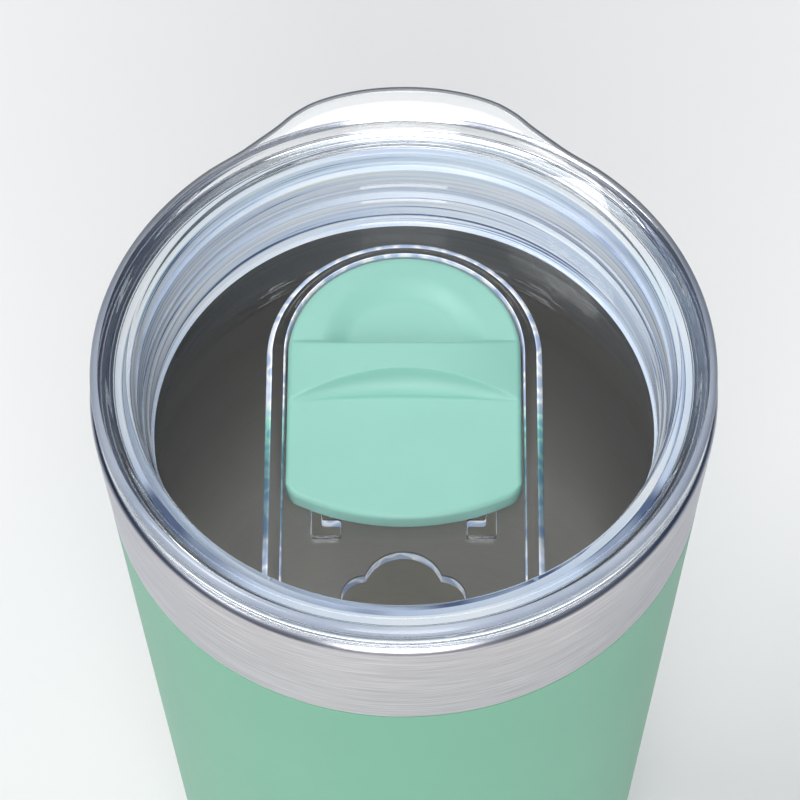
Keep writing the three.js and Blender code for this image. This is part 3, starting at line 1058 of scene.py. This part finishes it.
def make_floor():
    """A round sheet of paper that is open under the foot, so that the underside can be seen."""
    steps = 96
    bm = bmesh.new()
    rings = []
    for radius in (0.029, 0.3, 4.0):
        angles = [2 * math.pi * i / steps for i in range(steps)]
        rings.append([bm.verts.new((radius * math.cos(a), radius * math.sin(a), 0)) for a in angles])
    for inner, outer in zip(rings, rings[1:]):
        for i in range(steps):
            j = (i + 1) % steps
            bm.faces.new((inner[i], outer[i], outer[j], inner[j]))
    floor = finish_mesh("floor", bm)

    mat, tree, bsdf = material("floor_paper", {"Roughness": 0.9})
    coords = node(tree, "ShaderNodeTexCoord")
    mapping = node(tree, "ShaderNodeMapping", Scale=(1.1, 1.1, 1.1))
    fade = node(tree, "ShaderNodeTexGradient", gradient_type="SPHERICAL")
    tree.links.new(coords.outputs["Object"], mapping.inputs["Vector"])
    tree.links.new(mapping.outputs["Vector"], fade.inputs["Vector"])
    # painted fall-off of light: the paper is pale near the cup and darkens to blue-grey far away
    colour = ramp(tree, fade.outputs["Fac"], [(0.0, (0.18, 0.21, 0.26)), (0.66, (0.795, 0.785, 0.772))])
    tree.links.new(colour, bsdf.inputs["Base Color"])
    floor.data.materials.append(mat)
    return floor


def make_world():
    """Pale below, and a sky that goes from dark at the horizon to pale overhead."""
    world = bpy.data.worlds.new("studio")
    world.use_nodes = True
    tree = world.node_tree
    background = tree.nodes["Background"]
    background.inputs["Strength"].default_value = 0.75
    coords = node(tree, "ShaderNodeTexCoord")
    split = node(tree, "ShaderNodeSeparateXYZ")
    tree.links.new(coords.outputs["Generated"], split.inputs["Vector"])
    level = map_range(tree, split.outputs["Z"], from_min=-1.0)
    sky = ramp(tree, level, [
        (0.0, (0.85, 0.86, 0.88)), (0.46, (0.85, 0.86, 0.88)),
        (0.5, (0.04, 0.05, 0.08)), (0.65, (0.06, 0.08, 0.13)), (0.81, (0.26, 0.31, 0.40)),
        (0.90, (0.50, 0.51, 0.53)), (0.95, (0.55, 0.56, 0.58)), (1.0, (0.8, 0.85, 0.9)),
    ])
    tree.links.new(sky, background.inputs["Color"])
    return world


def softbox(name, at, aim, size, radiance, fill=False):
    """A rectangular light. A fill light isn't seen in the object or through it."""
    data = bpy.data.lights.new(name, "AREA")
    data.shape = "RECTANGLE"
    data.size, data.size_y = size
    data.energy = radiance * math.pi * size[0] * size[1]
    lamp = bpy.data.objects.new(name, data)
    lamp.location = at
    lamp.rotation_mode = "QUATERNION"
    lamp.rotation_quaternion = (Vector(aim) - Vector(at)).to_track_quat("-Z", "Y")
    lamp.visible_camera = False
    if fill:
        lamp.visible_glossy = False
        lamp.visible_transmission = False
    scene.collection.objects.link(lamp)


# where the lights point
CUP = (0, 0, 0.1)
TAB_FACE = (0, 0.045, 0.17)

ELEVATION = math.radians(56.4)
AZIMUTH = math.radians(0.7)
ROLL = math.radians(-0.63)
DISTANCE = 0.700
SENSOR = 36.0
LENS = 219.672
AIM = Vector((0, 0, RIM_Z * MM))
# how far the aim lies from the middle of the frame, as shares of its distance
AIM_RIGHT, AIM_ABOVE = 0.000799, 0.0066986


def make_camera():
    back = Vector((0, -math.cos(ELEVATION), math.sin(ELEVATION)))
    right = Vector((1, 0, 0))
    up = right.cross(-back)
    forward = (-back - right * AIM_RIGHT - up * AIM_ABOVE).normalized()
    level_right = forward.cross(Vector((0, 0, 1))).normalized()
    level_up = level_right.cross(forward)
    rolled_right = level_right * math.cos(ROLL) + level_up * math.sin(ROLL)
    rolled_up = level_up * math.cos(ROLL) - level_right * math.sin(ROLL)
    swing = Matrix.Rotation(AZIMUTH, 3, "Z")
    rotation = swing @ Matrix((rolled_right, rolled_up, -forward)).transposed()
    camera = bpy.data.objects.new("camera", bpy.data.cameras.new("camera"))
    camera.data.sensor_width = SENSOR
    camera.data.lens = LENS
    camera.data.clip_start = 0.05
    camera.matrix_world = Matrix.Translation(AIM + swing @ (back * DISTANCE)) @ rotation.to_4x4()
    scene.collection.objects.link(camera)
    return camera


make_floor()
scene.world = make_world()
softbox("key", (-0.9, -0.1, 1.75), CUP, (0.8, 0.7), 7.4)
softbox("back", (0, 1.3885, 1.5135), TAB_FACE, (0.6, 0.602), 3.6)
softbox("rear", (-0.5, 1.2, 1.5), CUP, (0.6, 0.5), 6.0, fill=True)
softbox("right", (1.0, 0.55, 1.7), CUP, (0.6, 0.6), 1.9, fill=True)
softbox("front", (0.0, -1.9, 1.45), CUP, (1.2, 1.1), 6.2)
softbox("top", (0.0, -0.85, 1.75), CUP, (0.6, 0.5), 4.8)
scene.camera = make_camera()

scene.view_settings.view_transform = "Standard"
# light passes many surfaces in the clear lid
scene.cycles.max_bounces = 24
scene.cycles.transmission_bounces = 20
scene.cycles.transparent_max_bounces = 16
scene.cycles.glossy_bounces = 8
scene.cycles.caustics_reflective = False
scene.cycles.caustics_refractive = False
